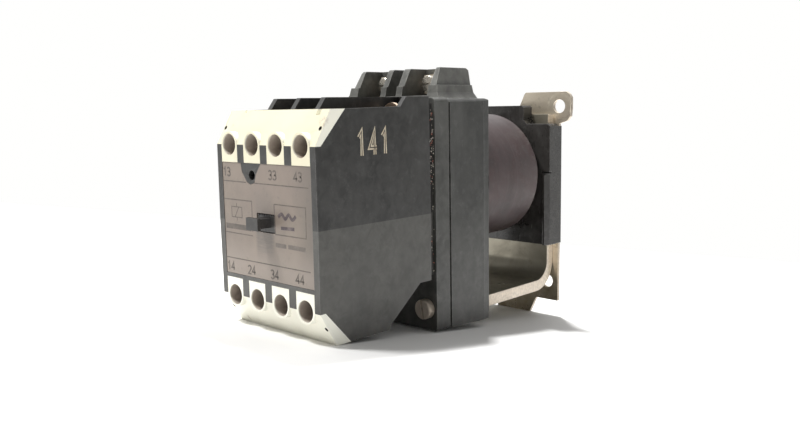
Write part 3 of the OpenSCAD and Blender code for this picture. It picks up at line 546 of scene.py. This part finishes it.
def finish_piece(bm, name, material, body):
    bmesh.ops.recalc_face_normals(bm, faces=bm.faces)
    mesh = bpy.data.meshes.new(name)
    bm.to_mesh(mesh)
    bm.free()
    o = bpy.data.objects.new(name, mesh)
    bpy.context.scene.collection.objects.link(o)
    mesh.materials.append(material)
    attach(o, body)
    return o


def on_label(u, v, w):
    return (u * MM, label_face_y + (PRINT_SINK - w) * MM, v * MM)


def digits(bm, text, u, v):
    """Draws a terminal number whose lower left corner is (u, v)."""
    step = TEXT_WIDTH / len(text)
    scale_u = step / GLYPH_WIDTH * GLYPH_FILL
    for i, glyph in enumerate(text):
        for line in stroke_points(glyph):
            points = [(u + i * step + a * scale_u, v + b * TEXT_HEIGHT) for a, b in line]
            ribbon(bm, points, 0.52, PRINT_DEPTH, on_label)


def label_print():
    bm = bmesh.new()
    numbers = [("13", -22.0, 14.6), ("33", 2.1, 14.4), ("43", 14.3, 14.4),
               ("14", -22.0, -16.8), ("24", -10.6, -16.9), ("34", 1.4, -16.9), ("44", 13.7, -16.8)]
    for text, u, v in numbers:
        digits(bm, text, u, v)
    lines = [
        [(-22.2, 12.95), (-9.7, 12.88)], [(-5.2, 12.85), (21.0, 12.7)], [(-22.2, -12.6), (20.8, -12.55)],
        [(-22.2, 6.95), (-7.25, 6.95), (-7.25, -2.9)], [(-22.0, -4.1), (-7.3, -4.2)],
        [(4.3, 6.8), (19.4, 6.75), (19.3, -2.55), (4.4, -2.6), (4.3, 6.8)],
    ]
    for line in lines:
        ribbon(bm, line, 0.35, PRINT_DEPTH, on_label)
    # A generic relay-coil symbol over a plain band
    symbol = [
        [(-18.3, 1.2), (-12.7, 1.2), (-12.7, 4.6), (-18.3, 4.6), (-18.3, 1.2)],
        [(-16.6, 1.2), (-14.4, 4.6)], [(-15.5, 4.6), (-15.5, 5.9)], [(-15.5, 1.2), (-15.5, 0.1)],
    ]
    for line in symbol:
        ribbon(bm, line, 0.30, PRINT_DEPTH, on_label)
    ribbon(bm, [(-21.8, -1.95), (-8.0, -1.95)], 1.75, PRINT_DEPTH, on_label)
    # Two plain bars on the type line
    bars = bmesh.new()
    for a, b in ((4.4, 9.6), (10.6, 18.8)):
        ribbon(bars, [(a, -5.9), (b, -5.95)], 1.35, PRINT_DEPTH, on_label)
    finish_piece(bars, "label_bars", MATERIALS["pale_ink"], "frame")
    return finish_piece(bm, "label_print", MATERIALS["ink"], "frame")


def pen_marks():
    """A felt-pen wave and a dash in the write-on box; they spell nothing."""
    bm = bmesh.new()
    strokes = [
        [(6.2, 3.0), (7.9, 4.0), (9.6, 2.6), (11.3, 4.0), (13.0, 2.6), (14.7, 3.8)],
        [(7.4, -0.4), (13.8, -0.2)],
    ]
    for line in strokes:
        ribbon(bm, smooth(line), 1.05, 0.05, on_label)
    return finish_piece(bm, "label_pen_strokes", MATERIALS["pen"], "frame")


def gap_crumbs():
    """Pale and rusty crumbs caught in the gap between the contact block and the flange."""
    draw = random.Random(7)
    ends = ((1, 0, 0), (-1, 0, 0), (0, 1, 0), (0, -1, 0), (0, 0, 1.5), (0, 0, -1.5))
    faces = ((0, 2, 4), (2, 1, 4), (1, 3, 4), (3, 0, 4), (2, 0, 5), (1, 2, 5), (3, 1, 5), (0, 3, 5))
    kinds = (("gap_crumbs_pale", "crumb_pale", 58), ("gap_crumbs_rusty", "crumb_rusty", 26))
    for name, colour, count in kinds:
        bm = bmesh.new()
        for _ in range(count):
            z = draw.uniform(10, 36) if draw.random() < 0.45 else draw.uniform(-20, 36)
            centre = Vector((draw.uniform(23.7, 24.6) * MM, front_y + draw.uniform(51.1, 52.2) * MM, z * MM))
            size = draw.uniform(0.14, 0.34) * MM
            angle = draw.uniform(0, 6.2)
            axis = Vector((draw.random(), draw.random(), 0.3)).normalized()
            turn = Matrix.Rotation(angle, 3, axis)
            corners = [turn @ Vector(c) * size * draw.uniform(0.6, 1.0) for c in ends]
            v = [bm.verts.new(centre + c) for c in corners]
            for a, b, c in faces:
                bm.faces.new((v[a], v[b], v[c]))
        finish_piece(bm, name, MATERIALS[colour], "frame")


def smooth(points):
    """Catmull-Rom curve through the points."""
    steps = 6
    out = []
    for i in range(len(points) - 1):
        p = [Vector(points[max(0, min(len(points) - 1, k))]) for k in (i - 1, i, i + 1, i + 2)]
        for s in range(steps):
            t = s / steps
            out.append(0.5 * ((2 * p[1]) + (p[2] - p[0]) * t + (2 * p[0] - 5 * p[1] + 4 * p[2] - p[3]) * t * t
                              + (3 * p[1] - p[0] - 3 * p[2] + p[3]) * t ** 3))
    out.append(Vector(points[-1]))
    return out


def side_x(v):
    """The block's side leans in by 1 in 100 away from the parting line."""
    return block_side_x - 0.01 * abs(v) * MM


def on_side(u, v, w):
    return (side_x(v) + (w - PRINT_SINK) * MM, front_y + u * MM, v * MM)


def side_number():
    """A generic stamped number: pale outline with a dark core."""
    outer, inner = bmesh.new(), bmesh.new()
    for i, glyph in enumerate("141"):
        u, v = 16.9 + i * 5.1, 21.3 + 0.1 * i
        for line in stroke_points(glyph):
            points = [(u + a * 5.0, v + b * 7.4) for a, b in line]
            ribbon(outer, points, 1.35, PRINT_DEPTH, on_side)
            ribbon(inner, points, 0.42, 1.5 * PRINT_DEPTH, on_side)
    finish_piece(outer, "side_number_outline", MATERIALS["paint"], "frame")
    finish_piece(inner, "side_number_core", MATERIALS["paint_core"], "frame")


MATERIALS["ink"] = print_ink("label_ink", (0.085, 0.072, 0.062), (0.16, 0.135, 0.115))
MATERIALS["pale_ink"] = print_ink("label_bar_ink", (0.115, 0.098, 0.086), (0.185, 0.160, 0.140))
MATERIALS["pen"] = print_ink("pen_ink", (0.060, 0.045, 0.050), (0.17, 0.14, 0.135))
MATERIALS["crumb_pale"] = print_ink("crumb_pale", (0.62, 0.58, 0.52), (0.34, 0.31, 0.27))
MATERIALS["crumb_rusty"] = print_ink("crumb_rusty", (0.42, 0.17, 0.13), (0.24, 0.12, 0.09))
MATERIALS["paint"] = print_ink("stamp_paint", (0.62, 0.55, 0.42), (0.40, 0.32, 0.22))
MATERIALS["paint_core"] = print_ink("stamp_core", (0.05, 0.045, 0.04), (0.16, 0.13, 0.10))
label_print()
pen_marks()
side_number()
gap_crumbs()


# ---------------------------------------------------------------- studio

def resting_plane():
    """Where the relay rests: the bottom cover's crest and the plate's foot, as the line's start and fall."""
    cover_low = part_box("bottom_terminal_cover")[0]
    plate_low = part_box("mounting_plate")[0]
    rest_y = front_y + 6.35 * MM
    return Vector((0, rest_y, cover_low.z)), math.atan2(cover_low.z - plate_low.z, plate_low.y - rest_y)


def sheet(name, half, material):
    """A square sheet in the resting plane."""
    start, slope = resting_plane()
    mesh = bpy.data.meshes.new(name)
    corners = [(-half, -half, 0.0), (half, -half, 0.0), (half, half, 0.0), (-half, half, 0.0)]
    mesh.from_pydata(corners, [], [(0, 1, 2, 3)])
    o = bpy.data.objects.new(name, mesh)
    bpy.context.scene.collection.objects.link(o)
    tilt = Matrix.Rotation(-slope, 4, "X") @ Matrix.Rotation(math.radians(FLOOR_TURN), 4, "Z")
    o.matrix_world = Matrix.Translation(start) @ tilt
    mesh.materials.append(material)
    return o


def studio_floor():
    white = Mat("floor_white")
    white.surface((0.82, 0.815, 0.805), 0.6, spec=0.1)
    sheet("floor", FLOOR_HALF, white.m)


def area_light(name, location, target, size, power):
    data = bpy.data.lights.new(name, "AREA")
    data.shape = "RECTANGLE"
    data.size = data.size_y = size
    data.energy = power
    o = bpy.data.objects.new(name, data)
    bpy.context.scene.collection.objects.link(o)
    o.location = location
    o.rotation_mode = "QUATERNION"
    o.rotation_quaternion = (Vector(target) - Vector(location)).to_track_quat("-Z", "Y")
    return o


def room(backdrop, dim, ceiling):
    """White backdrop on the far side, a dimmer room on the near side, and a pale ceiling."""
    world = bpy.data.worlds.new("studio")
    bpy.context.scene.world = world
    world.use_nodes = True
    t = world.node_tree
    coord = t.nodes.new("ShaderNodeTexCoord").outputs["Generated"]

    def ramp(direction, low, high):
        dot = t.nodes.new("ShaderNodeVectorMath")
        dot.operation = "DOT_PRODUCT"
        t.links.new(coord, dot.inputs[0])
        dot.inputs[1].default_value = direction
        r = t.nodes.new("ShaderNodeMapRange")
        r.interpolation_type = "SMOOTHSTEP"
        t.links.new(dot.outputs["Value"], r.inputs["Value"])
        r.inputs["From Min"].default_value = low
        r.inputs["From Max"].default_value = high
        return r.outputs["Result"]

    def blend(fac, a, b):
        n = t.nodes.new("ShaderNodeMix")
        n.data_type = "RGBA"
        t.links.new(fac, n.inputs["Factor"])
        for colour, target in ((a, n.inputs[6]), (b, n.inputs[7])):
            if isinstance(colour, tuple):
                target.default_value = (*colour, 1.0)
            else:
                t.links.new(colour, target)
        return n.outputs[2]

    colour = blend(ramp((0, 0, 1), 0.25, 0.9), dim, ceiling)
    colour = blend(ramp(BACKDROP_SIDE, -0.05, 0.3), colour, backdrop)
    t.links.new(colour, t.nodes["Background"].inputs["Color"])
    t.nodes["Background"].inputs["Strength"].default_value = 1.0


def studio_light():
    room((1.0, 1.0, 0.99), (0.22, 0.22, 0.217), (0.35, 0.35, 0.345))
    middle = Vector((0, -0.07, -0.01))

    def panel(name, direction, size, strength):
        """Strength is what a white sheet facing the panel would show."""
        d = Vector(direction).normalized() * LAMP_DISTANCE
        area_light(name, middle + d, middle, size, strength * math.pi ** 2 * LAMP_DISTANCE ** 2)

    panel("lamp_rear", (-0.24, 0.33, 1.0), 0.07, 1.2)
    panel("lamp_front", (-0.26, -0.40, 1.0), 0.12, 0.85)


def camera():
    data = bpy.data.cameras.new("camera")
    data.lens = LENS
    data.sensor_width = 36.0
    data.clip_start, data.clip_end = 0.01, 20.0
    o = bpy.data.objects.new("camera", data)
    bpy.context.scene.collection.objects.link(o)
    azimuth, elevation, roll = (math.radians(a) for a in CAMERA_TURN)
    level = math.cos(elevation)
    back = Vector((math.sin(azimuth) * level, -math.cos(azimuth) * level, math.sin(elevation)))
    right = (-back).cross(Vector((0, 0, 1))).normalized()
    up = right.cross(-back)
    right, up = (math.cos(roll) * right + math.sin(roll) * up, -math.sin(roll) * right + math.cos(roll) * up)
    turn = Matrix((right, up, back)).transposed().to_4x4()
    o.matrix_world = Matrix.Translation(CAMERA_AT) @ turn
    bpy.context.scene.camera = o


studio_floor()
studio_light()
camera()
bpy.context.scene.view_settings.view_transform = "Standard"
